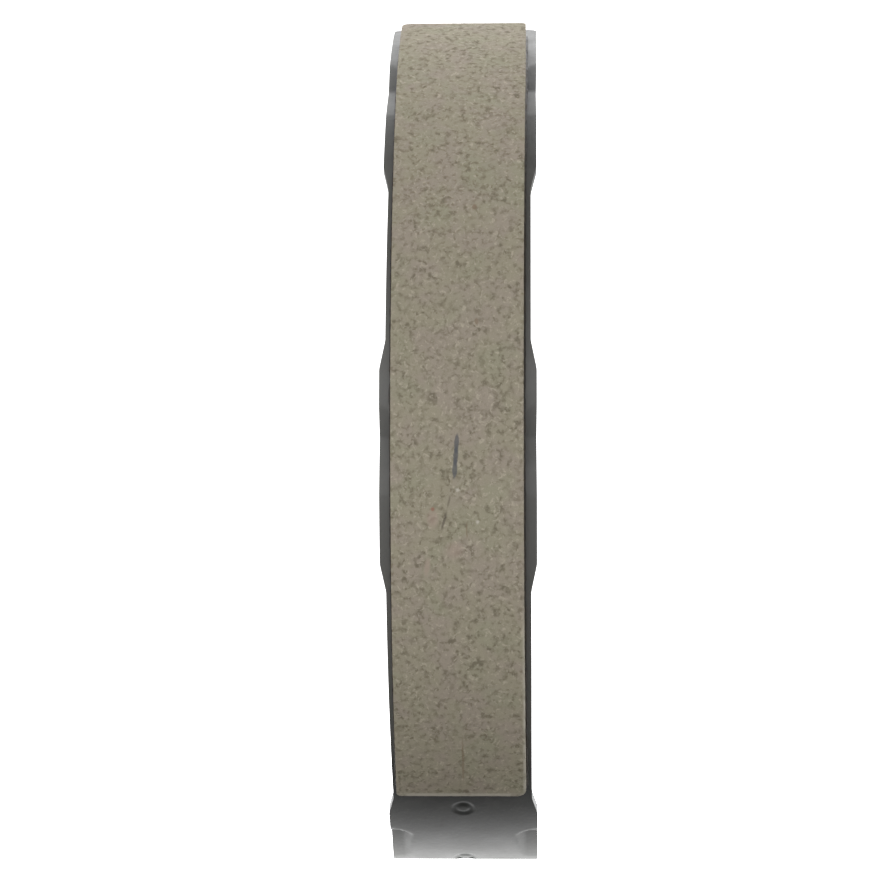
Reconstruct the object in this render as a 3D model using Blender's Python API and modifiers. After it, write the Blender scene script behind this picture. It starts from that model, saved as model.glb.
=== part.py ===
"""A drum brake shoe, modelled in metres with +Z up.

A curved steel table carries a bonded friction lining on its outside and a flat web behind it. The web's
ends are the anchor end at the top, and the adjuster end with its slot at the bottom. The drum's axis lies
along X.

Angles are in degrees down from the level line that runs from the drum's axis out to the middle of the
shoe, so the top of the shoe has negative angles. Everything hangs on an empty that stands on the drum's
axis, which is placed so that the origin is under the middle of the shoe, at its lowest point.
"""

import math

import bmesh
import bpy
from mathutils import Matrix, Vector

MM = 0.001
SHARP_ANGLE = math.radians(30.0)

# Radii from the drum's axis, working inwards from the rubbing face.
LINING_OUTER = 95.0 * MM
LINING_THICKNESS = 2.7 * MM
FILM_THICKNESS = 0.2 * MM
TABLE_THICKNESS = 2.0 * MM
FIT_GAP = 0.3 * MM
LINING_INNER = LINING_OUTER - LINING_THICKNESS
FILM_OUTER = LINING_INNER - FIT_GAP
TABLE_OUTER = FILM_OUTER - FILM_THICKNESS - FIT_GAP
TABLE_INNER = TABLE_OUTER - TABLE_THICKNESS
WEB_OUTER = TABLE_INNER - FIT_GAP

# The lining.
LINING_WIDTH = 25.0 * MM
LINING_SHIFT = -0.1 * MM
LINING_TOP = -67.3
LINING_BOTTOM = 45.0
LINING_EDGE = 0.4 * MM
FILM_INSET = 0.4 * MM

# The table, and the wide pads on its edges that slide on the backing plate.
TABLE_TOP = -73.0
TABLE_BOTTOM = 65.7
NARROW_WIDTH = 27.2 * MM
WIDE_WIDTH = 29.4 * MM
PAD_RAMP = 3.4
PADS = ((TABLE_TOP, -36.6), (-9.6, 13.4), (51.6, TABLE_BOTTOM))
ARC_STEP = 3.0
CLOSEST_STEP = 0.3

# The nibs, dents pressed inwards into both edges of each pad: (top, crease, bottom). Each is deepest along
# its crease. Its floor starts at the table's edge, and a sloping flank joins the floor to the table.
NIBS = ((-57.6, -52.2, -45.8), (-5.3, -1.5, 5.2), (55.6, 57.2, 64.2))
NIB_FLOOR = 2.4 * MM
NIB_FLANK = 2.1 * MM
NIB_DEPTH = 1.5 * MM
NIB_PULL = 0.1 * MM
NIB_STATIONS = 5

# The projection welds between the web and the table.
WELD_COUNT = 10
WELD_FIRST = 64.8
WELD_PITCH = 14.4
WELD_LENGTH = 4.0 * MM
WELD_WIDTH = 2.4 * MM
WELD_THICKNESS = 0.9 * MM
WELD_SIDES = 16
MARK_RADIUS = 2.15 * MM
MARK_DEPTH = 0.3 * MM

# The web. Its outline's corners are rounded by these radii.
WEB_THICKNESS = 3.0 * MM
WEB_EDGE_TOP = -72.0
WEB_EDGE_BOTTOM = 66.5
END_OVERRUN = 2.5
END_CORNER = 3.0 * MM
WEB_INNER = 66.0 * MM
ARC_TOP = -51.0
ARC_BOTTOM = 50.0
NECK_CORNER = 8.0 * MM
WEB_WAIST = 62.0 * MM
WAIST_HALF = 9.0
WAIST_SLOPE = 6.0
WAIST_CORNER = 5.0 * MM
ANCHOR_FACE = -9.0 * MM
ANCHOR_LOW = 66.0 * MM
ANCHOR_HIGH = 83.0 * MM
ANCHOR_CORNER = 4.0 * MM
ADJUSTER_FACE = -10.0 * MM
SLOT_DEPTH = 8.0 * MM
SLOT_HEIGHT = 7.0 * MM
SLOT_MIDDLE = -72.0 * MM
SLOT_LIP = 6.0 * MM
LIP_CORNER = 2.5 * MM
MOUTH_CORNER = 0.8 * MM
ROOT_CORNER = 1.5 * MM
STRUT_NOTCH = (-41.0, -31.0)
STRUT_DEPTH = 6.0 * MM
NOTCH_SHOULDER = 2.0
HOLD_DOWN_HOLE = (76.5 * MM, 0.0, 4.0 * MM)
SPRING_HOLES = ((79.0 * MM, -55.0, 2.6 * MM), (79.0 * MM, 56.0, 2.6 * MM))
LOCATING_HOLE = (78.0 * MM, 28.0, 3.0 * MM)
HOLE_SIDES = 24
FILLET_SIDES = 4
CAP_WELD = 0.01 * MM

PART_NAME = "brake_shoe"
STEEL_PAINT = ("dark_steel_paint", (0.085, 0.09, 0.092, 1.0), 0.45, 0.3)
FRICTION = ("friction_compound", (0.24, 0.21, 0.175, 1.0), 0.9, 0.0)
ADHESIVE = ("bonding_adhesive", (0.07, 0.05, 0.035, 1.0), 0.6, 0.0)
WELD_METAL = ("weld_metal", (0.3, 0.29, 0.28, 1.0), 0.5, 1.0)


def clear_scene():
    for old in list(bpy.data.objects):
        bpy.data.objects.remove(old)


def new_collection(name):
    collection = bpy.data.collections.new(name)
    bpy.context.scene.collection.children.link(collection)
    return collection


def new_material(name, colour, roughness, metallic):
    material = bpy.data.materials.new(name)
    material.use_nodes = True
    shader = material.node_tree.nodes["Principled BSDF"]
    shader.inputs["Base Color"].default_value = colour
    shader.inputs["Roughness"].default_value = roughness
    shader.inputs["Metallic"].default_value = metallic
    return material


def new_object(name, data, collection, finish=None):
    made = bpy.data.objects.new(name, data)
    collection.objects.link(made)
    if finish:
        data.materials.append(new_material(f"{finish[0]}_{name}", *finish[1:]))
    return made


def on_arc(radius, degrees, across=0.0):
    """A point at a radius from the drum's axis, at an angle down from level, and across along the axis."""
    angle = math.radians(degrees)
    return Vector((across, -radius * math.cos(angle), -radius * math.sin(angle)))


def arc_degrees(length, radius):
    return math.degrees(length / radius)


def stations(start, end, extra=()):
    """Angles from start to end: whole steps, the level line among them, and the extras a shape needs."""
    first, last = math.ceil(start / ARC_STEP), math.floor(end / ARC_STEP)
    steps = [i * ARC_STEP for i in range(first, last + 1)]
    wanted = [start, end, *(a for a in extra if start < a < end)]
    plain = [a for a in steps if all(abs(a - b) > ARC_STEP * CLOSEST_STEP for b in wanted)]
    return sorted(wanted + plain)


def bent_sheet(name, angles, lines, place):
    """An open sheet facing away from the axis: place(angle, line) gives each corner of a grid its place."""
    sheet = bmesh.new()
    columns = len(angles) - 1
    rows = len(lines) - 1
    bmesh.ops.create_grid(sheet, x_segments=columns, y_segments=rows, size=1.0)
    for corner in sheet.verts:
        column = round((corner.co.x + 1.0) / 2.0 * columns)
        row = round((corner.co.y + 1.0) / 2.0 * rows)
        corner.co = place(angles[column], lines[row])
    bmesh.ops.recalc_face_normals(sheet, faces=sheet.faces)
    middle = max(sheet.faces, key=lambda face: -face.calc_center_median().y)
    if middle.normal.y > 0.0:
        bmesh.ops.reverse_faces(sheet, faces=sheet.faces)
    mesh = bpy.data.meshes.new(name)
    sheet.to_mesh(mesh)
    sheet.free()
    return mesh


def thicken(sheet, thickness):
    """Gives a sheet its thickness on the side towards the drum's axis."""
    solidify = sheet.modifiers.new("thickness", "SOLIDIFY")
    solidify.thickness = thickness
    solidify.offset = -1.0
    solidify.use_even_offset = True


def shade_round(mesh):
    mesh.shade_smooth()
    mesh.set_sharp_from_angle(angle=SHARP_ANGLE)


# ------------------------------------------------------------------ table

def half_width(degrees):
    """Half the table's width, which ramps out to the wide pads."""
    share = 0.0
    for top, bottom in PADS:
        before = (degrees - (top - PAD_RAMP)) / PAD_RAMP
        after = (bottom + PAD_RAMP - degrees) / PAD_RAMP
        share = max(share, min(before, after, 1.0))
    return (NARROW_WIDTH + share * (WIDE_WIDTH - NARROW_WIDTH)) / 2.0


def nib_at(degrees):
    """How deep a nib is here, as a share of its depth, and how wide its floor and its flank are."""
    for top, crease, bottom in NIBS:
        if top < degrees < crease:
            share = (degrees - top) / (crease - top)
            return share, NIB_FLOOR * math.sqrt(share), NIB_FLANK * math.sqrt(share)
        if crease <= degrees < bottom:
            share = (bottom - degrees) / (bottom - crease)
            return share, NIB_FLOOR, NIB_FLANK * math.sqrt(share)
    return 0.0, 0.0, 0.0


def table_point(degrees, line):
    """line is a side, -1 or 1, and a distance in from that edge."""
    side, from_edge = line
    share, floor, flank = nib_at(degrees)
    if share:
        share *= min(max(1.0 - (from_edge - floor) / flank, 0.0), 1.0)
    across = side * (half_width(degrees) - from_edge - NIB_PULL * share)
    return on_arc(TABLE_OUTER - NIB_DEPTH * share, degrees, across)


def table_stations():
    ramps = [end for top, bottom in PADS for end in (top - PAD_RAMP, top, bottom, bottom + PAD_RAMP)]
    nibs = []
    for top, crease, bottom in NIBS:
        nibs += [top + (crease - top) * i / NIB_STATIONS for i in range(NIB_STATIONS)]
        nibs += [crease + (bottom - crease) * i / NIB_STATIONS for i in range(NIB_STATIONS + 1)]
    return stations(TABLE_TOP, TABLE_BOTTOM, ramps + nibs)


def weld_angles():
    return [WELD_FIRST - WELD_PITCH * i for i in range(WELD_COUNT)]


def radial_place(radius, degrees):
    """A frame at a point of the arc: its Z points out from the drum's axis, and its X lies along the axis."""
    outwards = on_arc(1.0, degrees)
    along = Vector((1.0, 0.0, 0.0))
    down = outwards.cross(along)
    turn = Matrix((along, down, outwards)).transposed().to_4x4()
    return Matrix.Translation(on_arc(radius, degrees)) @ turn


def make_mark_cutters(collection):
    """The round marks that the welding electrodes leave in the table's outer face."""
    marks = bmesh.new()
    for degrees in weld_angles():
        bmesh.ops.create_cone(
            marks,
            cap_ends=True,
            segments=WELD_SIDES,
            radius1=MARK_RADIUS,
            radius2=MARK_RADIUS,
            depth=2.0 * MARK_DEPTH,
            matrix=radial_place(TABLE_OUTER, degrees),
        )
    mesh = bpy.data.meshes.new("electrode_mark_cutters")
    marks.to_mesh(mesh)
    marks.free()
    cutters = new_object("electrode_mark_cutters", mesh, collection)
    cutters.hide_render = True
    cutters.display_type = "WIRE"
    return cutters


def make_table(collection, marks):
    steps = [0.0, NIB_FLOOR / 2.0, NIB_FLOOR, NIB_FLOOR + NIB_FLANK / 2.0, NIB_FLOOR + NIB_FLANK]
    lines = [(-1, step) for step in steps] + [(1, step) for step in reversed(steps)]
    mesh = bent_sheet("table", table_stations(), lines, table_point)
    table = new_object("table", mesh, collection, STEEL_PAINT)
    thicken(table, TABLE_THICKNESS)
    cut = table.modifiers.new("electrode_marks", "BOOLEAN")
    cut.operation = "DIFFERENCE"
    cut.object = marks
    shade_round(mesh)
    return table


# ------------------------------------------------------------------ lining and its bond

def make_bonded_strip(name, collection, finish, outer, thickness, width, top, bottom, edge=0.0):
    """A strip bent round the table, such as the lining or the film that bonds it."""
    def place(degrees, across):
        return on_arc(outer, degrees, across)

    sides = (LINING_SHIFT - width / 2.0, LINING_SHIFT + width / 2.0)
    mesh = bent_sheet(name, stations(top, bottom), sides, place)
    strip = new_object(name, mesh, collection, finish)
    thicken(strip, thickness)
    if edge:
        bevel = strip.modifiers.new("edges", "BEVEL")
        bevel.width = edge
        bevel.segments = 1
        bevel.limit_method = "ANGLE"
        bevel.angle_limit = SHARP_ANGLE
    shade_round(mesh)
    return strip


def make_lining(collection):
    return make_bonded_strip(
        "lining", collection, FRICTION, LINING_OUTER, LINING_THICKNESS, LINING_WIDTH,
        LINING_TOP, LINING_BOTTOM, LINING_EDGE,
    )


def make_film(collection):
    inset = arc_degrees(FILM_INSET, FILM_OUTER)
    return make_bonded_strip(
        "adhesive_film", collection, ADHESIVE, FILM_OUTER, FILM_THICKNESS, LINING_WIDTH - 2.0 * FILM_INSET,
        LINING_TOP + inset, LINING_BOTTOM - inset,
    )


# ------------------------------------------------------------------ web

def flat(radius, degrees):
    """A point of the web's outline: back from the axis, and up."""
    point = on_arc(radius, degrees)
    return (point.y, point.z)


def filleted(corners):
    """The outline with each corner (y, z, radius) rounded. A corner with no radius stays as it is."""
    outline = []
    for i, (y, z, radius) in enumerate(corners):
        here = Vector((y, z))
        if not radius:
            outline.append(here)
            continue
        before = (Vector(corners[i - 1][:2]) - here).normalized()
        after = (Vector(corners[(i + 1) % len(corners)][:2]) - here).normalized()
        half = before.angle(after) / 2.0
        centre = here + (before + after).normalized() * (radius / math.sin(half))
        first = here + before * (radius / math.tan(half)) - centre
        last = here + after * (radius / math.tan(half)) - centre
        sweep = first.angle_signed(last)
        for step in range(FILLET_SIDES + 1):
            turned = first.copy()
            turned.rotate(Matrix.Rotation(-sweep * step / FILLET_SIDES, 2))
            outline.append(centre + turned)
    return outline


def sharp(points):
    return [(*point, 0.0) for point in points]


def outer_edge():
    """The edge under the table, top to bottom, with a shallow notch for each weld."""
    half = arc_degrees(WELD_LENGTH / 2.0 + FIT_GAP, WEB_OUTER)
    floor = WEB_OUTER - WELD_THICKNESS - FIT_GAP
    edge = []
    start = WEB_EDGE_TOP
    for middle in sorted(weld_angles()):
        edge += [(WEB_OUTER, degrees) for degrees in stations(start, middle - half)]
        edge += [(floor, middle - half), (floor, middle + half)]
        start = middle + half
    edge += [(WEB_OUTER, degrees) for degrees in stations(start, WEB_EDGE_BOTTOM)]
    return sharp(flat(*place) for place in edge)


def inner_arc(start, end):
    """Corners along the inner edge's main arc, from its lower end to its upper one."""
    return sharp(flat(WEB_INNER, degrees) for degrees in reversed(stations(end, start)))


def tangent_corner(degrees, height, radius):
    """Where the line that leaves the inner arc at an angle reaches a height, as a corner to be rounded."""
    y, z = flat(WEB_INNER, degrees)
    run = (abs(height) - abs(z)) * abs(math.tan(math.radians(degrees)))
    return (y + run, height, radius)


def adjuster_end():
    """The bottom end: its edges, and the slot for the adjuster's fork."""
    low = SLOT_MIDDLE - SLOT_HEIGHT / 2.0
    high = SLOT_MIDDLE + SLOT_HEIGHT / 2.0
    root = ADJUSTER_FACE - SLOT_DEPTH
    return [
        (*flat(WEB_OUTER, WEB_EDGE_BOTTOM + END_OVERRUN), END_CORNER),
        (ADJUSTER_FACE, low - SLOT_LIP, LIP_CORNER),
        (ADJUSTER_FACE, low, MOUTH_CORNER),
        (root, low, ROOT_CORNER),
        (root, high, ROOT_CORNER),
        (ADJUSTER_FACE, high, MOUTH_CORNER),
        (ADJUSTER_FACE, high + SLOT_LIP, LIP_CORNER),
        tangent_corner(ARC_BOTTOM, high + SLOT_LIP, NECK_CORNER),
    ]


def inner_edge():
    """The edge towards the hub, bottom to top: the waist round the hold-down hole, then the strut's notch."""
    top, bottom = STRUT_NOTCH
    floor = WEB_INNER + STRUT_DEPTH
    waist = [
        (*flat(WEB_INNER, WAIST_HALF + WAIST_SLOPE), WAIST_CORNER),
        (*flat(WEB_WAIST, WAIST_HALF), WAIST_CORNER),
        *sharp([flat(WEB_WAIST, 0.0)]),
        (*flat(WEB_WAIST, -WAIST_HALF), WAIST_CORNER),
        (*flat(WEB_INNER, -WAIST_HALF - WAIST_SLOPE), WAIST_CORNER),
    ]
    notch = [
        (*flat(WEB_INNER, bottom), MOUTH_CORNER),
        (*flat(floor, bottom), ROOT_CORNER),
        (*flat(floor, top), ROOT_CORNER),
        (*flat(WEB_INNER, top), MOUTH_CORNER),
    ]
    return [
        *inner_arc(ARC_BOTTOM, WAIST_HALF + 2.0 * WAIST_SLOPE),
        *waist,
        *inner_arc(-WAIST_HALF - 2.0 * WAIST_SLOPE, bottom + NOTCH_SHOULDER),
        *notch,
        *inner_arc(top - NOTCH_SHOULDER, ARC_TOP),
    ]


def anchor_end():
    """The top end, whose flat face bears on the anchor."""
    return [
        tangent_corner(ARC_TOP, ANCHOR_LOW, NECK_CORNER),
        (ANCHOR_FACE, ANCHOR_LOW, END_CORNER),
        (ANCHOR_FACE, ANCHOR_HIGH, ANCHOR_CORNER),
        (*flat(WEB_OUTER, WEB_EDGE_TOP - END_OVERRUN), END_CORNER),
    ]


def add_outline(curve, points):
    spline = curve.splines.new("POLY")
    spline.points.add(len(points) - 1)
    for place, point in zip(spline.points, points):
        place.co = (point[0], point[1], 0.0, 1.0)
    spline.use_cyclic_u = True


def hole_outline(radius, degrees, hole_radius):
    centre = Vector(flat(radius, degrees))
    turns = [2.0 * math.pi * i / HOLE_SIDES for i in range(HOLE_SIDES)]
    return [centre + hole_radius * Vector((math.cos(turn), math.sin(turn))) for turn in turns]


def make_web(collection):
    curve = bpy.data.curves.new("web_outline", "CURVE")
    curve.dimensions = "2D"
    curve.fill_mode = "BOTH"
    curve.extrude = WEB_THICKNESS / 2.0
    add_outline(curve, filleted(outer_edge() + adjuster_end() + inner_edge() + anchor_end()))
    for hole in (HOLD_DOWN_HOLE, *SPRING_HOLES, LOCATING_HOLE):
        add_outline(curve, hole_outline(*hole))
    guide = new_object("web_outline", curve, collection)
    evaluated = guide.evaluated_get(bpy.context.evaluated_depsgraph_get())
    web_mesh = bpy.data.meshes.new_from_object(evaluated)
    bpy.data.objects.remove(guide)
    solid = bmesh.new()
    solid.from_mesh(web_mesh)
    bmesh.ops.remove_doubles(solid, verts=solid.verts, dist=CAP_WELD)
    bmesh.ops.recalc_face_normals(solid, faces=solid.faces)
    solid.to_mesh(web_mesh)
    solid.free()
    web = new_object("web", web_mesh, collection, STEEL_PAINT)
    web.rotation_euler = (math.pi / 2.0, 0.0, math.pi / 2.0)
    shade_round(web_mesh)
    return web


# ------------------------------------------------------------------ welds

def make_weld_nuggets(collection):
    """One small oval of fused metal in each notch of the web, against the table."""
    oval = bmesh.new()
    bmesh.ops.create_cone(
        oval, cap_ends=True, segments=WELD_SIDES, radius1=0.5, radius2=0.5, depth=WELD_THICKNESS,
    )
    bmesh.ops.scale(oval, vec=(WELD_WIDTH, WELD_LENGTH, 1.0), verts=oval.verts)
    mesh = bpy.data.meshes.new("weld_nugget")
    oval.to_mesh(mesh)
    oval.free()
    shade_round(mesh)
    nuggets = []
    for number, degrees in enumerate(sorted(weld_angles()), start=1):
        nugget = new_object(f"weld_nugget_{number:02d}", mesh.copy(), collection, WELD_METAL)
        nugget.matrix_local = radial_place(WEB_OUTER - WELD_THICKNESS / 2.0, degrees)
        nuggets.append(nugget)
    return nuggets


def main():
    clear_scene()
    parts = new_collection(PART_NAME)
    cutters = new_collection(f"{PART_NAME}_cutters")
    marks = make_mark_cutters(cutters)
    pieces = [
        make_table(parts, marks),
        make_film(parts),
        make_lining(parts),
        make_web(parts),
        *make_weld_nuggets(parts),
    ]
    drum_axis = new_object("drum_axis", None, parts)
    front, back = -LINING_OUTER, ANCHOR_FACE
    lowest = on_arc(TABLE_OUTER, TABLE_BOTTOM).z
    drum_axis.location = (0.0, -(front + back) / 2.0, -lowest)
    for piece in [*pieces, marks]:
        piece.parent = drum_axis
    bpy.context.view_layer.update()


main()
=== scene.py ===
"""A drum brake shoe in a plain studio: a bonded friction lining on a curved steel table with a web behind it.

The drum's axis lies along X. Angles are in degrees down from the level line that runs from that axis out
to the middle of the shoe, so the top of the shoe has negative angles. A side is -1 for -X and 1 for +X.
"""

import math

import bmesh
import bpy
from mathutils import Matrix, Vector


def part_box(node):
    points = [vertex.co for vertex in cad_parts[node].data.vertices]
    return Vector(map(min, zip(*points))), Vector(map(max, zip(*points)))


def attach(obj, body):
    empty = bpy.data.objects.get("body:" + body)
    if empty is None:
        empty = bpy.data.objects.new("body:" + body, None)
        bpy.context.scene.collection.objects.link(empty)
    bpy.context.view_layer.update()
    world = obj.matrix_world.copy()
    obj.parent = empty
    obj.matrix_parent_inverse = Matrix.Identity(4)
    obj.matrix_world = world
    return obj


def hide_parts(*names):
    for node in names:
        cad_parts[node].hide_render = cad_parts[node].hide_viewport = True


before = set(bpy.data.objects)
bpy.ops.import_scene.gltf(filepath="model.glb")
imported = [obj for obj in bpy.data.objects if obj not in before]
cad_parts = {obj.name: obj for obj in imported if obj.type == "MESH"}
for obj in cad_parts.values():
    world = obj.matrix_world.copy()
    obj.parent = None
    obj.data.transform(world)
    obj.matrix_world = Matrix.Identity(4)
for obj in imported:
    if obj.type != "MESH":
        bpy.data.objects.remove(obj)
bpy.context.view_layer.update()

MM = 0.001
BODY = "root"

# ------------------------------------------------------------------ sizes

LINING_RADIUS = 95.0 * MM
LINING_DEPTH = 3.05 * MM
LINING_WIDTH = 24.76 * MM
LINING_FLARE = 0.32 * MM
LINING_SHIFT = -0.08 * MM
LINING_ENDS = (-67.3, 45.0)
LINING_CORNER = 1.0 * MM
LINING_BIG_CORNER = 2.0 * MM
LINING_EDGE = 0.5 * MM

# Degrees that keep the lining's top edge no higher than the table's.
LINING_SETBACK = 0.08

# The pale, worn rim along the lining's bottom edge and the lower part of its right edge.
RIM_WIDTH = 1.0 * MM
RIM_SIDE = 11.75 * MM
RIM_FADES = 70.0 * MM
RIM_FULL = 35.0 * MM

BOND_RADIUS = 92.0 * MM
BOND_DEPTH = 0.45 * MM
# How far the bond reaches past the lining's sides and ends. The near-black band there is partly squeezed-out
# adhesive and partly painted shade along the lining's edges.
BOND_BEAD_AND_SHADE = 0.3 * MM

TABLE_RADIUS = 91.5 * MM
TABLE_THICKNESS = 2.0 * MM
TABLE_ENDS = (-73.0, 65.7)
NARROW_WIDTH = 27.2 * MM
WIDE_WIDTH = 29.4 * MM
TABLE_CORNER = 0.5 * MM
TABLE_TOP_CORNER = 1.8 * MM
TABLE_EDGE = 0.28 * MM
PAD_RAMP = 3.4
PADS = ((-73.0, -36.6), (-9.6, 13.4), (51.6, 65.7))

# Each nib is a dent in both edges of a pad: where it starts, its crease, and where it runs out. Its floor
# starts at the table's edge, and a sloping flank joins the floor to the table.
NIBS = ((-57.6, -52.2, -45.8), (-5.3, -1.5, 5.2), (55.6, 57.2, 64.2))
NIB_FLOOR = 2.4 * MM
NIB_FLANK = 2.1 * MM
NIB_DEPTH = 1.5 * MM
NIB_PULL = 0.1 * MM

# The web's outer edge is brought up against the table, which it is welded to.
WEB_OUTER = 89.2 * MM
WEB_REACH = 0.3 * MM
WEB_BITE = 0.02 * MM

WELD_COUNT = 10
WELD_FIRST = 64.8
WELD_PITCH = 14.4
RING_RADIUS = 1.6 * MM
RING_HALF = 0.95 * MM
RING_DEPTH = 0.24 * MM
RING_PATCH = 3.0 * MM
HEAT_RADIUS = 2.6 * MM
WELD_LUMP = (1.7 * MM, 2.9 * MM, 1.0 * MM)

# Painted shade in the foot's nibs, up to this height, and a paler colour on the table beside the lining.
FOOT_NIB_SHADE_TOP = 9.0 * MM
FOOT_NIB_SHADE_FADE = 1.5 * MM
PALE_STRIP_FROM = 12.2 * MM
PALE_STRIP_BLEND = 0.5 * MM
PALE_STRIP_LOW = 20.0 * MM
PALE_STRIP_HIGH = 145.0 * MM
PALE_STRIP_FADE = 12.0 * MM

AXIS = Vector((
    0.0,
    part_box("lining")[0].y + LINING_RADIUS,
    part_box("table")[0].z + TABLE_RADIUS * math.sin(math.radians(TABLE_ENDS[1])),
))


# ------------------------------------------------------------------ places on the shoe

def outwards(degrees):
    angle = math.radians(degrees)
    return Vector((0.0, -math.cos(angle), -math.sin(angle)))


def downwards(degrees):
    """Along the arc, towards the shoe's bottom end."""
    angle = math.radians(degrees)
    return Vector((0.0, math.sin(angle), -math.cos(angle)))


def on_arc(radius, degrees, across=0.0):
    return AXIS + outwards(degrees) * radius + Vector((across, 0.0, 0.0))


def arc_angle(point):
    return math.degrees(math.atan2(AXIS.z - point.z, AXIS.y - point.y))


def arc_radius(point):
    return math.hypot(point.y - AXIS.y, point.z - AXIS.z)


# ------------------------------------------------------------------ hand tools

def deselect_all():
    bpy.ops.object.select_all(action="DESELECT")


def take(piece):
    """Makes a piece the only selected one."""
    deselect_all()
    piece.select_set(True)
    bpy.context.view_layer.objects.active = piece


def settle(piece):
    """Puts a piece's place, turn and size into its mesh."""
    take(piece)
    bpy.ops.object.transform_apply(location=True, rotation=True, scale=True)


def choose(piece, corner_test=None, face_test=None):
    """In edit mode: selects only the corners or faces of which the test says yes to their place."""
    bpy.ops.mesh.select_all(action="DESELECT")
    shape = bmesh.from_edit_mesh(piece.data)
    if corner_test:
        bpy.ops.mesh.select_mode(type="VERT")
        for corner in shape.verts:
            corner.select_set(corner_test(corner.co))
    if face_test:
        bpy.ops.mesh.select_mode(type="FACE")
        for face in shape.faces:
            face.select_set(face_test(face.calc_center_median()))
    shape.select_flush_mode()
    bmesh.update_edit_mesh(piece.data)


def apply_modifier(piece, kind, **settings):
    take(piece)
    modifier = piece.modifiers.new(kind.lower(), kind)
    for name, value in settings.items():
        setattr(modifier, name, value)
    bpy.ops.object.modifier_apply(modifier=modifier.name)


def weigh(piece, name, share_at):
    """A vertex group whose weight at each corner is what share_at says for the corner's place."""
    group = piece.vertex_groups.new(name=name)
    for corner in piece.data.vertices:
        share = share_at(corner.co)
        if share > 0.0:
            group.add([corner.index], share, "REPLACE")
    return group.name


def press(piece, name, share_at, distance, direction="NORMAL"):
    """Moves a surface by up to a distance, as share_at says for each place on it."""
    group = weigh(piece, name, share_at)
    apply_modifier(
        piece, "DISPLACE", strength=distance, mid_level=0.0, direction=direction, vertex_group=group,
    )
    piece.vertex_groups.remove(piece.vertex_groups[group])


def smooth_shading(piece, degrees):
    take(piece)
    bpy.ops.object.shade_smooth_by_angle(angle=math.radians(degrees))


def finish_piece(piece, material, slot, *nodes):
    piece.data.materials.clear()
    piece.data.materials.append(material)
    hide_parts(*nodes)
    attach(piece, BODY)


def bent_sheet(name, radius, width, shift, ends, columns, row_degrees):
    """A sheet bent round the drum's axis: one row of a grid, spun on down the arc."""
    top, bottom = ends
    rows = round((bottom - top) / row_degrees)
    row = (bottom - top) / rows
    first = top + row / 2.0
    depth = radius * math.cos(math.radians(row / 2.0))
    height = 2.0 * radius * math.sin(math.radians(row / 2.0))
    deselect_all()
    bpy.ops.mesh.primitive_grid_add(
        x_subdivisions=columns,
        y_subdivisions=1,
        size=1.0,
        location=on_arc(depth, first, shift),
        rotation=(math.radians(90.0 + first), 0.0, 0.0),
    )
    sheet = bpy.context.active_object
    sheet.name = name
    sheet.data.name = name
    sheet.scale = (width, height, 1.0)
    settle(sheet)
    bpy.ops.object.mode_set(mode="EDIT")
    choose(sheet, corner_test=lambda place: arc_angle(place) > first)
    bpy.ops.mesh.spin(
        steps=rows - 1, angle=-math.radians(row * (rows - 1)), center=AXIS, axis=(1.0, 0.0, 0.0),
    )
    bpy.ops.mesh.select_all(action="SELECT")
    bpy.ops.mesh.remove_doubles(threshold=0.01 * MM)
    bpy.ops.mesh.normals_make_consistent(inside=False)
    face = bmesh.from_edit_mesh(sheet.data).faces
    face.ensure_lookup_table()
    middle = face[len(face) // 2]
    if middle.normal.dot(middle.calc_center_median() - AXIS) < 0.0:
        bpy.ops.mesh.flip_normals()
    bpy.ops.object.mode_set(mode="OBJECT")
    return sheet


def round_corner(sheet, radius, degrees, side, edge, corner):
    """Trims one corner of a bent sheet to a round, with a few straight cuts."""
    end = 1.0 if degrees > 0.0 else -1.0
    centre = on_arc(radius, degrees, edge - side * corner) - downwards(degrees) * end * corner
    cuts = 5
    take(sheet)
    bpy.ops.object.mode_set(mode="EDIT")
    for i in range(1, cuts):
        turn = math.radians(90.0 * i / cuts)
        normal = Vector((side, 0.0, 0.0)) * math.cos(turn) + downwards(degrees) * end * math.sin(turn)
        bpy.ops.mesh.select_all(action="SELECT")
        bpy.ops.mesh.bisect(
            plane_co=centre + normal * corner, plane_no=normal, clear_outer=True, threshold=0.001 * MM,
        )
    bpy.ops.object.mode_set(mode="OBJECT")


# ------------------------------------------------------------------ finishes

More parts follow.
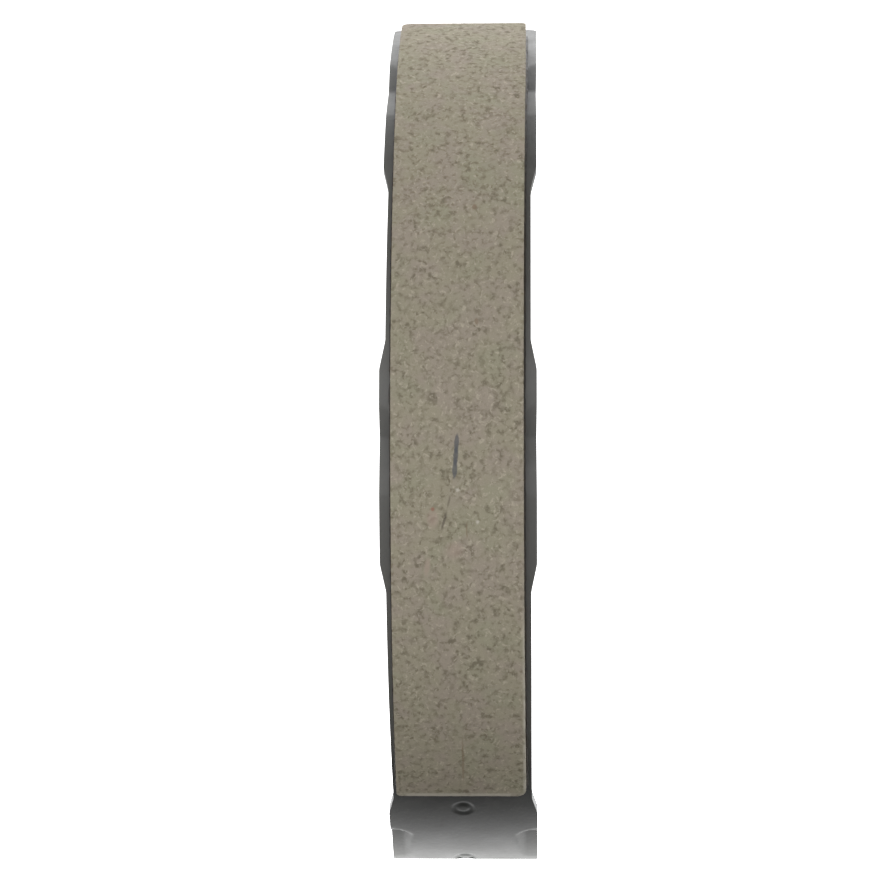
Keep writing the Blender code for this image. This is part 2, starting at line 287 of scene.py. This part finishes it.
class Finish:
    """A material's nodes, added one at a time and wired as they come."""

    def __init__(self, name, roughness, metallic=0.0, specular=0.5):
        self.material = bpy.data.materials.new(name)
        self.material.use_nodes = True
        self.nodes = self.material.node_tree.nodes
        self.links = self.material.node_tree.links
        self.shader = self.nodes["Principled BSDF"]
        self.shader.inputs["Roughness"].default_value = roughness
        self.shader.inputs["Metallic"].default_value = metallic
        self.shader.inputs["Specular IOR Level"].default_value = specular
        self.place = self.nodes.new("ShaderNodeTexCoord").outputs["Object"]

    def add(self, kind, **settings):
        node = self.nodes.new(kind)
        for name, value in settings.items():
            setattr(node, name, value)
        return node

    def feed(self, node, name, value):
        """Wires a socket, or sets it to a plain value."""
        if isinstance(value, bpy.types.NodeSocket):
            self.links.new(value, node.inputs[name])
        else:
            node.inputs[name].default_value = value

    def noise(self, size, detail=2.0, roughness=0.5, distortion=0.0, place=None):
        """Soft noise whose lumps are about size across."""
        node = self.add("ShaderNodeTexNoise")
        self.feed(node, "Vector", place or self.place)
        self.feed(node, "Scale", 1.0 / size)
        self.feed(node, "Detail", detail)
        self.feed(node, "Roughness", roughness)
        self.feed(node, "Distortion", distortion)
        return node.outputs["Fac"]

    def ramp(self, value, low, high, to_low=0.0, to_high=1.0):
        """value from low to high, as to_low to to_high, eased and held at both ends."""
        node = self.add("ShaderNodeMapRange", interpolation_type="SMOOTHSTEP")
        self.feed(node, "Value", value)
        self.feed(node, "From Min", low)
        self.feed(node, "From Max", high)
        self.feed(node, "To Min", to_low)
        self.feed(node, "To Max", to_high)
        return node.outputs["Result"]

    def sum(self, first, second, operation="ADD"):
        node = self.add("ShaderNodeMath", operation=operation)
        self.feed(node, 0, first)
        self.feed(node, 1, second)
        return node.outputs[0]

    def mix(self, share, under, over, blend="MIX"):
        node = self.add("ShaderNodeMix", data_type="RGBA", blend_type=blend)
        self.feed(node, "Factor", share)
        for socket, value in ((node.inputs[6], under), (node.inputs[7], over)):
            if isinstance(value, bpy.types.NodeSocket):
                self.links.new(value, socket)
            else:
                socket.default_value = (*value, 1.0)
        return node.outputs[2]

    def bump(self, height, distance, strength=1.0, under=None):
        node = self.add("ShaderNodeBump")
        self.feed(node, "Height", height)
        self.feed(node, "Distance", distance)
        self.feed(node, "Strength", strength)
        if under:
            self.feed(node, "Normal", under)
        return node.outputs["Normal"]

    def stir(self, size, distance):
        """Object coordinates shaken by noise, so that what reads them has a ragged outline."""
        node = self.add("ShaderNodeTexNoise")
        self.feed(node, "Vector", self.place)
        self.feed(node, "Scale", 1.0 / size)
        self.feed(node, "Detail", 3.0)
        centred = self.add("ShaderNodeVectorMath", operation="SUBTRACT")
        self.feed(centred, 0, node.outputs["Color"])
        self.feed(centred, 1, (0.5, 0.5, 0.5))
        scaled = self.add("ShaderNodeVectorMath", operation="SCALE")
        self.feed(scaled, 0, centred.outputs[0])
        self.feed(scaled, "Scale", distance)
        moved = self.add("ShaderNodeVectorMath", operation="ADD")
        self.feed(moved, 0, self.place)
        self.feed(moved, 1, scaled.outputs[0])
        return moved.outputs[0]

    def spot(self, place, across, up, half_width, half_height, lean=0.0, sharp=0.5):
        """A soft oval on the rubbing face, across and up from the middle of the shoe, leaning by degrees."""
        lie = self.add("ShaderNodeMapping", vector_type="TEXTURE")
        self.feed(lie, "Vector", place)
        self.feed(lie, "Location", (across, AXIS.y, AXIS.z + up))
        self.feed(lie, "Rotation", (0.0, math.radians(lean), 0.0))
        self.feed(lie, "Scale", (half_width, 1.0, half_height))
        ball = self.add("ShaderNodeTexGradient", gradient_type="SPHERICAL")
        self.feed(ball, "Vector", lie.outputs[0])
        return self.ramp(ball.outputs["Fac"], 0.0, 1.0 - sharp)

    def from_axis(self):
        """The distance from the drum's axis."""
        away = self.add("ShaderNodeVectorMath", operation="SUBTRACT")
        self.feed(away, 0, self.place)
        self.feed(away, 1, AXIS)
        flat = self.add("ShaderNodeVectorMath", operation="MULTIPLY")
        self.feed(flat, 0, away.outputs[0])
        self.feed(flat, 1, (0.0, 1.0, 1.0))
        length = self.add("ShaderNodeVectorMath", operation="LENGTH")
        self.feed(length, 0, flat.outputs[0])
        return length.outputs["Value"]

    def wear(self, colour, normal=None, roughness=None):
        """Gives the shader its colour and the rest."""
        self.feed(self.shader, "Base Color", colour)
        if normal:
            self.feed(self.shader, "Normal", normal)
        if roughness:
            self.feed(self.shader, "Roughness", roughness)
        return self.material


def steel_paint():
    """Dark grey paint: orange peel, dust, weld heat, a paler strip beside the lining, and painted shade in
    the foot's nibs and on the sunk faces near the foot.
    """
    finish = Finish("dark_steel_paint", 0.4)
    mottle = finish.noise(6.0 * MM, 3.0, 0.55)
    colour = finish.mix(finish.ramp(mottle, 0.35, 0.68), (0.056, 0.058, 0.055), (0.077, 0.078, 0.074))
    dust = finish.noise(0.7 * MM, 4.0, 0.65)
    colour = finish.mix(finish.ramp(dust, 0.56, 0.8, 0.0, 0.4), colour, (0.15, 0.148, 0.14))
    stain = finish.noise(2.6 * MM, 2.0, 0.5, 0.6)
    colour = finish.mix(finish.ramp(stain, 0.62, 0.76, 0.0, 0.3), colour, (0.045, 0.037, 0.036))
    for degrees in (WELD_FIRST, WELD_FIRST - WELD_PITCH):
        up = -TABLE_RADIUS * math.sin(math.radians(degrees))
        tall = HEAT_RADIUS * math.cos(math.radians(degrees))
        heat = finish.spot(finish.stir(1.2 * MM, 0.8 * MM), 0.0, up, HEAT_RADIUS, tall)
        colour = finish.mix(finish.sum(heat, 0.5, "MULTIPLY"), colour, (0.03, 0.034, 0.03))
    place = finish.add("ShaderNodeSeparateXYZ")
    finish.feed(place, 0, finish.place)
    height = place.outputs["Z"]
    aside = finish.sum(place.outputs["X"], 0.0, "ABSOLUTE")
    # A paler colour on the table beside the lining, fading out towards the top and the foot.
    pale_strip = finish.sum(
        finish.ramp(aside, PALE_STRIP_FROM, PALE_STRIP_FROM + PALE_STRIP_BLEND),
        finish.ramp(finish.from_axis(), TABLE_RADIUS - 2.5 * MM, TABLE_RADIUS - TABLE_THICKNESS), "MULTIPLY",
    )
    low_end = finish.ramp(height, PALE_STRIP_LOW, PALE_STRIP_LOW + PALE_STRIP_FADE)
    high_end = finish.ramp(height, PALE_STRIP_HIGH, PALE_STRIP_HIGH - PALE_STRIP_FADE)
    pale_strip = finish.sum(pale_strip, low_end, "MULTIPLY")
    pale_strip = finish.sum(pale_strip, high_end, "MULTIPLY")
    colour = finish.mix(finish.sum(pale_strip, 0.85, "MULTIPLY"), colour, (0.128, 0.127, 0.12))
    # Painted shade: the sunk faces at the shoe's foot, the nib floors among them, are darkened where the
    # recesses hold shade.
    sunk = finish.ramp(finish.from_axis(), TABLE_RADIUS - 0.15 * MM, TABLE_RADIUS - 0.9 * MM)
    low = finish.ramp(height, FOOT_NIB_SHADE_TOP, FOOT_NIB_SHADE_TOP - FOOT_NIB_SHADE_FADE)
    painted_nib_shade = finish.sum(finish.sum(sunk, low, "MULTIPLY"), 0.6, "MULTIPLY")
    colour = finish.mix(painted_nib_shade, colour, (0.025, 0.025, 0.022))
    peel = finish.noise(0.9 * MM, 2.0, 0.4)
    grain = finish.noise(0.18 * MM, 3.0, 0.6)
    normal = finish.bump(peel, 0.05 * MM, 0.6)
    normal = finish.bump(grain, 0.012 * MM, 0.5, normal)
    return finish.wear(colour, normal, finish.ramp(mottle, 0.3, 0.7, 0.34, 0.46))


def friction_compound():
    """Moulded friction compound: warm grey with dark fibres and crumbs, pale crumbs and soft stains."""
    finish = Finish("friction_compound", 0.85, 0.0, 0.35)
    soft = finish.noise(5.5 * MM, 2.0, 0.5)
    broad = finish.noise(8.0 * MM, 1.0, 0.4, 0.5)
    colour = finish.mix(finish.ramp(soft, 0.38, 0.64), (0.415, 0.375, 0.278), (0.425, 0.366, 0.296))
    colour = finish.mix(finish.ramp(broad, 0.5, 0.7, 0.0, 0.6), colour, (0.39, 0.375, 0.265))
    clump = finish.noise(3.2 * MM, 2.0, 0.5)
    crumbs = finish.noise(1.05 * MM, 2.5, 0.55, 0.3)
    dark = finish.sum(finish.ramp(crumbs, 0.44, 0.72), finish.ramp(clump, 0.34, 0.6, 0.45, 1.0), "MULTIPLY")
    colour = finish.mix(finish.sum(dark, 0.8, "MULTIPLY"), colour, (0.17, 0.148, 0.1))
    drift = finish.stir(2.0 * MM, 3.0 * MM)
    pale = finish.ramp(finish.noise(0.7 * MM, 2.0, 0.5, place=drift), 0.55, 0.72, 0.0, 0.6)
    colour = finish.mix(pale, colour, (0.64, 0.58, 0.46))
    fine = finish.noise(0.22 * MM, 3.0, 0.6)
    colour = finish.mix(finish.ramp(fine, 0.35, 0.75, 0.0, 0.3), colour, (0.25, 0.225, 0.17))
    place = finish.add("ShaderNodeSeparateXYZ")
    finish.feed(place, 0, finish.place)
    foot = AXIS.z - LINING_RADIUS * math.sin(math.radians(LINING_ENDS[1]))
    below = finish.ramp(place.outputs["Z"], foot + RIM_WIDTH, foot + RIM_WIDTH / 2.0)
    beside = finish.ramp(place.outputs["X"], RIM_SIDE, RIM_SIDE + RIM_WIDTH / 2.0)
    lower = finish.ramp(place.outputs["Z"], RIM_FADES, RIM_FULL)
    rim = finish.sum(below, finish.sum(beside, lower, "MULTIPLY"), "MAXIMUM")
    rim = finish.sum(rim, finish.ramp(finish.noise(2.5 * MM), 0.35, 0.55, 0.3, 1.0), "MULTIPLY")
    colour = finish.mix(finish.sum(rim, 0.85, "MULTIPLY"), colour, (0.62, 0.58, 0.49))
    colour = rubbing_face_marks(finish, colour)
    normal = finish.bump(crumbs, 0.09 * MM, 0.7)
    normal = finish.bump(fine, 0.04 * MM, 0.8, normal)
    return finish.wear(colour, normal, finish.ramp(crumbs, 0.4, 0.7, 0.78, 0.92))


def rubbing_face_marks(finish, colour):
    """The one-off marks that moulding, grinding and handling left on the rubbing face."""
    ragged = finish.stir(0.8 * MM, 0.35 * MM)

    def stain(across, up, half_width, half_height, tint, amount=1.0, lean=0.0, sharp=0.5):
        oval = finish.spot(ragged, across * MM, up * MM, half_width * MM, half_height * MM, lean, sharp)
        return finish.mix(finish.sum(oval, amount, "MULTIPLY"), colour, tint)

    blue_grey = (0.125, 0.13, 0.14)
    crack = (0.13, 0.11, 0.085)
    rust = (0.36, 0.17, 0.125)
    pink = (0.5, 0.38, 0.32)
    chalk = (0.72, 0.68, 0.6)
    brown = (0.25, 0.18, 0.12)
    for along in (-2.3, 0.0, 2.3):
        colour = stain(-0.3 + along * 0.07, -1.0 + along, 0.55, 2.3, blue_grey, 0.8, 4.0, 0.6)
    colour = stain(-1.6, -9.4, 0.32, 1.7, crack, 0.5, 14.0, 0.25)
    colour = stain(-2.5, -13.0, 0.4, 2.7, crack, 0.75, 14.5, 0.25)
    colour = stain(-4.6, -12.6, 1.6, 2.4, pink, 0.55, 0.0, 0.2)
    colour = stain(-4.6, -10.8, 0.5, 0.5, rust, 0.8, 0.0, 0.3)
    colour = stain(0.0, -7.3, 0.5, 0.5, chalk, 0.7, 0.0, 0.25)
    colour = stain(3.7, -13.2, 0.5, 0.45, chalk, 0.7, 0.0, 0.25)
    colour = stain(-5.7, -21.5, 0.8, 2.6, pink, 0.5, 10.0, 0.3)
    colour = stain(-0.5, -18.5, 2.2, 2.2, pink, 0.4, 0.0, 0.2)
    colour = stain(1.7, -14.8, 0.22, 2.0, brown, 0.5)
    colour = stain(0.4, -59.5, 0.3, 6.0, brown, 0.5)
    colour = stain(3.0, 46.0, 0.6, 0.7, brown, 0.7)
    colour = stain(3.5, 24.0, 0.5, 0.8, brown, 0.6)
    return colour


def bonding_adhesive():
    """Cured bonding film: near black, a little glossy, and lumpy where it squeezed out. Past the lining's
    edges, its near-black band is partly painted shade.
    """
    finish = Finish("bonding_adhesive", 0.5)
    lumps = finish.noise(1.4 * MM, 3.0, 0.55)
    colour = finish.mix(finish.ramp(lumps, 0.35, 0.7), (0.03, 0.024, 0.018), (0.062, 0.05, 0.036))
    return finish.wear(colour, finish.bump(lumps, 0.1 * MM, 0.8), finish.ramp(lumps, 0.3, 0.7, 0.4, 0.6))


def weld_metal():
    """Fused steel with a dull grey skin and straw to blue heat tints."""
    finish = Finish("weld_metal", 0.45, 1.0)
    heat = finish.noise(2.2 * MM, 2.0, 0.5)
    colour = finish.mix(finish.ramp(heat, 0.38, 0.55), (0.2, 0.19, 0.18), (0.3, 0.25, 0.17))
    colour = finish.mix(finish.ramp(heat, 0.55, 0.7), colour, (0.14, 0.16, 0.21))
    ripple = finish.noise(0.4 * MM, 3.0, 0.6)
    return finish.wear(colour, finish.bump(ripple, 0.06 * MM, 0.8), finish.ramp(ripple, 0.3, 0.7, 0.36, 0.58))


# ------------------------------------------------------------------ table

def pad_share(degrees):
    """0 where the table is narrow and 1 where it is widest."""
    share = 0.0
    for top, bottom in PADS:
        before = (degrees - (top - PAD_RAMP)) / PAD_RAMP
        after = (bottom + PAD_RAMP - degrees) / PAD_RAMP
        share = max(share, min(before, after, 1.0))
    return share


def half_width(degrees):
    return (NARROW_WIDTH + pad_share(degrees) * (WIDE_WIDTH - NARROW_WIDTH)) / 2.0


def nib_share(degrees, from_edge):
    """How much of the full depth a nib has, at this angle and this far in from the table's edge."""
    for top, crease, bottom in NIBS:
        if top < degrees < bottom:
            above = degrees < crease
            end = top if above else bottom
            share = (degrees - end) / (crease - end)
            spread = math.sqrt(share)
            floor = NIB_FLOOR * (spread if above else 1.0)
            left = 1.0 - (from_edge - floor) / (NIB_FLANK * spread)
            return share * min(max(left, 0.0), 1.0)
    return 0.0


def make_table(material):
    table = bent_sheet("steel_table", TABLE_RADIUS, NARROW_WIDTH, 0.0, TABLE_ENDS, 72, 0.4)
    grow = (WIDE_WIDTH - NARROW_WIDTH) / 2.0

    def widen(place, side):
        if place.x * side <= 0.0:
            return 0.0
        degrees = arc_angle(place)
        part = abs(place.x) / (NARROW_WIDTH / 2.0)
        from_edge = (1.0 - part) * half_width(degrees)
        pull = nib_share(degrees, from_edge) * NIB_PULL / grow
        return max(0.0, pad_share(degrees) * part - pull)

    for side in (-1.0, 1.0):
        press(table, "guide_pads", lambda place: widen(place, side), side * grow, "X")
    for degrees in TABLE_ENDS:
        for side in (-1.0, 1.0):
            corner = TABLE_CORNER if degrees > 0.0 else TABLE_TOP_CORNER
            round_corner(table, TABLE_RADIUS, degrees, side, side * half_width(degrees), corner)
    press(
        table, "nibs",
        lambda place: nib_share(arc_angle(place), half_width(arc_angle(place)) - abs(place.x)), -NIB_DEPTH,
    )
    apply_modifier(table, "SOLIDIFY", thickness=TABLE_THICKNESS, offset=-1.0, use_even_offset=True)
    apply_modifier(
        table, "BEVEL", width=TABLE_EDGE, segments=3, limit_method="ANGLE", angle_limit=math.radians(50.0),
    )
    press_electrode_rings(table)
    smooth_shading(table, 40.0)
    finish_piece(table, material, "steel_paint", "table")
    return table


def press_electrode_rings(table):
    """The ring that each welding electrode left in the outer face, round a middle that stayed up."""
    centres = [on_arc(TABLE_RADIUS, WELD_FIRST - WELD_PITCH * i) for i in range(WELD_COUNT)]
    skin = TABLE_RADIUS - TABLE_THICKNESS / 2.0

    def nearest(place):
        return min((place - centre).length for centre in centres)

    take(table)
    bpy.ops.object.mode_set(mode="EDIT")
    choose(table, face_test=lambda place: arc_radius(place) > skin and nearest(place) < RING_PATCH)
    bpy.ops.mesh.subdivide(number_cuts=2)
    bpy.ops.object.mode_set(mode="OBJECT")

    def groove(place):
        away = abs(nearest(place) - RING_RADIUS) / RING_HALF
        if away >= 1.0 or arc_radius(place) < skin:
            return 0.0
        return 0.5 + 0.5 * math.cos(math.pi * away)

    press(table, "electrode_rings", groove, -RING_DEPTH)


# ------------------------------------------------------------------ lining and its bond

def flare_share(degrees):
    """The lining is a little wider towards its ends, where bending it spread it."""
    return min(1.0, (degrees / 52.0) ** 2)


def flare_ends(strip):
    def spread(place, side):
        part = side * (place.x - LINING_SHIFT) / (LINING_WIDTH / 2.0)
        return max(0.0, part) * flare_share(arc_angle(place))

    for side in (-1.0, 1.0):
        press(strip, "flare", lambda place: spread(place, side), side * LINING_FLARE, "X")


def make_lining(material):
    ends = (LINING_ENDS[0] + LINING_SETBACK, LINING_ENDS[1])
    lining = bent_sheet("friction_lining", LINING_RADIUS, LINING_WIDTH, LINING_SHIFT, ends, 36, 0.45)
    flare_ends(lining)
    for degrees in ends:
        for side in (-1.0, 1.0):
            big = degrees * side > 0.0
            corner = LINING_BIG_CORNER if big else LINING_CORNER
            edge = LINING_SHIFT + side * (LINING_WIDTH / 2.0 + LINING_FLARE * flare_share(degrees))
            round_corner(lining, LINING_RADIUS, degrees, side, edge, corner)
    apply_modifier(lining, "SOLIDIFY", thickness=LINING_DEPTH, offset=-1.0, use_even_offset=True)
    apply_modifier(
        lining, "BEVEL", width=LINING_EDGE, segments=3, limit_method="ANGLE", angle_limit=math.radians(50.0),
    )
    roughen(lining, "grinding_waves", 6.0 * MM, 0.05 * MM)
    roughen(lining, "crumb_pits", 0.9 * MM, 0.07 * MM)
    smooth_shading(lining, 50.0)
    finish_piece(lining, material, "friction_compound", "lining")
    return lining


def roughen(piece, name, size, depth, direction="NORMAL"):
    """Moves a surface by noise: inwards, so that it stays inside its first shape, or along one way."""
    texture = bpy.data.textures.new(name, "CLOUDS")
    texture.noise_scale = size
    texture.noise_depth = 2
    apply_modifier(
        piece, "DISPLACE", texture=texture, texture_coords="LOCAL", strength=depth, direction=direction,
        mid_level=1.0 if direction == "NORMAL" else 0.5,
    )


def make_bond(material):
    # The bond is wider and longer than the lining. Its near-black band beside the lining is partly painted
    # shade.
    width = LINING_WIDTH + 2.0 * BOND_BEAD_AND_SHADE
    past = math.degrees(BOND_BEAD_AND_SHADE / BOND_RADIUS)
    ends = (LINING_ENDS[0] - past, LINING_ENDS[1] + past)
    bond = bent_sheet("bond_line", BOND_RADIUS, width, LINING_SHIFT, ends, 24, 0.6)
    flare_ends(bond)
    apply_modifier(bond, "SOLIDIFY", thickness=BOND_DEPTH, offset=-1.0, use_even_offset=True)
    apply_modifier(
        bond, "BEVEL", width=0.14 * MM, segments=2, limit_method="ANGLE", angle_limit=math.radians(50.0),
    )
    roughen(bond, "squeezed_out_and_shade", 1.6 * MM, 0.35 * MM, "X")
    smooth_shading(bond, 50.0)
    finish_piece(bond, material, "adhesive", "adhesive_film")
    return bond


# ------------------------------------------------------------------ web and welds

def on_table(place):
    """Whether a place lies between the table's ends."""
    return TABLE_ENDS[0] < arc_angle(place) < TABLE_ENDS[1]


def make_web(material):
    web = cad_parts["web"].copy()
    web.data = web.data.copy()
    web.name = "pressed_web"
    web.data.name = "pressed_web"
    for key in list(web.keys()):
        del web[key]
    bpy.context.scene.collection.objects.link(web)
    web.parent = None
    take(web)
    bpy.ops.object.mode_set(mode="EDIT")
    bpy.ops.mesh.select_all(action="SELECT")
    bpy.ops.mesh.remove_doubles(threshold=0.005 * MM)
    bpy.ops.mesh.dissolve_limited(angle_limit=math.radians(0.5))
    choose(web, corner_test=lambda place: arc_radius(place) > WEB_OUTER - WEB_REACH and on_table(place))
    grow = (TABLE_RADIUS - TABLE_THICKNESS + WEB_BITE) / WEB_OUTER
    bpy.ops.transform.resize(value=(1.0, grow, grow), center_override=AXIS)
    bpy.ops.object.mode_set(mode="OBJECT")
    apply_modifier(
        web, "BEVEL", width=0.3 * MM, segments=3, limit_method="ANGLE", angle_limit=math.radians(60.0),
        harden_normals=True,
    )
    finish_piece(web, material, "steel_paint", "web")
    return web


def make_welds(material):
    """A lump of fused metal at each weld that fills the web's notch. Noise makes each one differ."""
    for i in range(WELD_COUNT):
        node = f"weld_nugget_{i + 1:02d}"
        low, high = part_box(node)
        degrees = arc_angle((low + high) / 2.0)
        deselect_all()
        bpy.ops.mesh.primitive_uv_sphere_add(
            segments=20,
            ring_count=12,
            radius=1.0,
            location=(low + high) / 2.0,
            rotation=(math.radians(90.0 + degrees), 0.0, 0.0),
        )
        weld = bpy.context.active_object
        weld.name = f"weld_{i + 1:02d}"
        weld.data.name = weld.name
        weld.scale = WELD_LUMP
        settle(weld)
        roughen(weld, "weld_lumps", 1.1 * MM, 0.25 * MM)
        smooth_shading(weld, 60.0)
        finish_piece(weld, material, "weld_metal", node)


# ------------------------------------------------------------------ studio

GLOW_STARTS = -9.0 * MM
GLOW_FULL = 22.0 * MM
GLOW_STRENGTH = 2.9
GLOW_FADES = 60.0 * MM
GLOW_FADED = 500.0 * MM
BACKDROP_STRENGTH = 0.7
APRON_STARTS = -50.0 * MM
APRON_FULL = -170.0 * MM
APRON_STRENGTH = 0.4
CAMERA_DISTANCE = 630.1 * MM
CAMERA_TURN = math.radians(1.353)
CAMERA_ROLL = math.radians(-0.102)
LENS = 118.64
SENSOR = 36.0
ROOM_STRENGTH = 0.12


def make_camera():
    lens = bpy.data.cameras.new("studio_camera")
    lens.lens = LENS
    lens.sensor_width = SENSOR
    lens.clip_start = 0.01
    lens.clip_end = 20.0
    camera = bpy.data.objects.new("studio_camera", lens)
    bpy.context.scene.collection.objects.link(camera)
    camera.location = AXIS + Vector((math.sin(CAMERA_TURN), -math.cos(CAMERA_TURN), 0.0)) * CAMERA_DISTANCE
    aim = on_arc(LINING_RADIUS, 0.0, -3.19 * MM) + Vector((0.0, 0.0, 1.97 * MM))
    look = (aim - camera.location).to_track_quat("-Z", "Y").to_matrix()
    camera.rotation_euler = (look @ Matrix.Rotation(CAMERA_ROLL, 3, "Z")).to_euler()
    bpy.context.scene.camera = camera


def soft_light(name, place, aim, width, height, radiance):
    """An area light of a size, aimed at a point, whose face has this radiance."""
    light = bpy.data.lights.new(name, "AREA")
    light.shape = "RECTANGLE"
    light.size = width
    light.size_y = height
    light.energy = radiance * math.pi * width * height
    lamp = bpy.data.objects.new(name, light)
    bpy.context.scene.collection.objects.link(lamp)
    lamp.location = place
    lamp.rotation_euler = (Vector(aim) - Vector(place)).to_track_quat("-Z", "Y").to_euler()


def white_paper():
    """Pale paper, lit from below behind the shoe's foot, and bright to look at all over."""
    finish = Finish("white_paper", 0.9)
    finish.shader.inputs["Base Color"].default_value = (0.3, 0.3, 0.3, 1.0)
    finish.shader.inputs["Emission Color"].default_value = (1.0, 1.0, 1.0, 1.0)
    depth = finish.add("ShaderNodeSeparateXYZ")
    finish.feed(depth, 0, finish.place)
    glow = finish.ramp(depth.outputs["Y"], GLOW_STARTS, GLOW_FULL, 0.0, GLOW_STRENGTH)
    fade = finish.ramp(depth.outputs["Y"], GLOW_FADES, GLOW_FADED, 0.0, GLOW_STRENGTH - BACKDROP_STRENGTH)
    ahead = finish.ramp(depth.outputs["Y"], APRON_STARTS, APRON_FULL, 0.0, APRON_STRENGTH)
    glow = finish.sum(finish.sum(glow, fade, "SUBTRACT"), ahead)
    seen = finish.sum(finish.add("ShaderNodeLightPath").outputs["Is Camera Ray"], 1.0, "MULTIPLY")
    finish.feed(finish.shader, "Emission Strength", finish.sum(glow, seen))
    return finish.material


def make_sweep():
    """A pale floor that curves up into the backdrop."""
    deselect_all()
    bpy.ops.mesh.primitive_plane_add(size=1.0, location=(0.0, -0.4, 0.0))
    sweep = bpy.context.active_object
    sweep.name = "studio_sweep"
    sweep.scale = (5.0, 3.2, 1.0)
    settle(sweep)
    back = 1.2
    curve = 0.5
    bpy.ops.object.mode_set(mode="EDIT")
    choose(sweep, corner_test=lambda place: place.y > back - 0.01)
    bpy.ops.mesh.spin(
        steps=16, angle=-math.radians(90.0), center=(0.0, back, curve), axis=(1.0, 0.0, 0.0),
    )
    bpy.ops.mesh.extrude_region_move(TRANSFORM_OT_translate={"value": (0.0, 0.0, 1.6)})
    bpy.ops.object.mode_set(mode="OBJECT")
    smooth_shading(sweep, 30.0)
    sweep.data.materials.append(white_paper())


def make_light():
    scene = bpy.context.scene
    scene.view_settings.view_transform = "Standard"
    scene.view_settings.look = "None"
    scene.view_settings.exposure = 0.0
    scene.view_settings.gamma = 1.0
    world = bpy.data.worlds.new("studio_room")
    world.use_nodes = True
    background = world.node_tree.nodes["Background"]
    background.inputs["Color"].default_value = (1.0, 1.0, 1.0, 1.0)
    room = world.node_tree
    seen = room.nodes.new("ShaderNodeLightPath").outputs["Is Camera Ray"]
    strength = room.nodes.new("ShaderNodeMath")
    strength.operation = "MULTIPLY_ADD"
    room.links.new(seen, strength.inputs[0])
    strength.inputs[1].default_value = 1.0 - ROOM_STRENGTH
    strength.inputs[2].default_value = ROOM_STRENGTH
    room.links.new(strength.outputs[0], background.inputs["Strength"])
    scene.world = world
    soft_light("overhead_softbox", (0.0, 0.45, 0.95), (0.0, 0.1, 0.1), 1.4, 1.0, 2.5)
    soft_light("front_softbox", (-0.35, -1.7, 0.5), (0.0, 0.0, 0.09), 2.2, 1.6, 1.75)


# ------------------------------------------------------------------ the whole shoe

paint = steel_paint()
make_table(paint)
make_lining(friction_compound())
make_bond(bonding_adhesive())
make_web(paint)
make_welds(weld_metal())
make_sweep()
make_light()
make_camera()
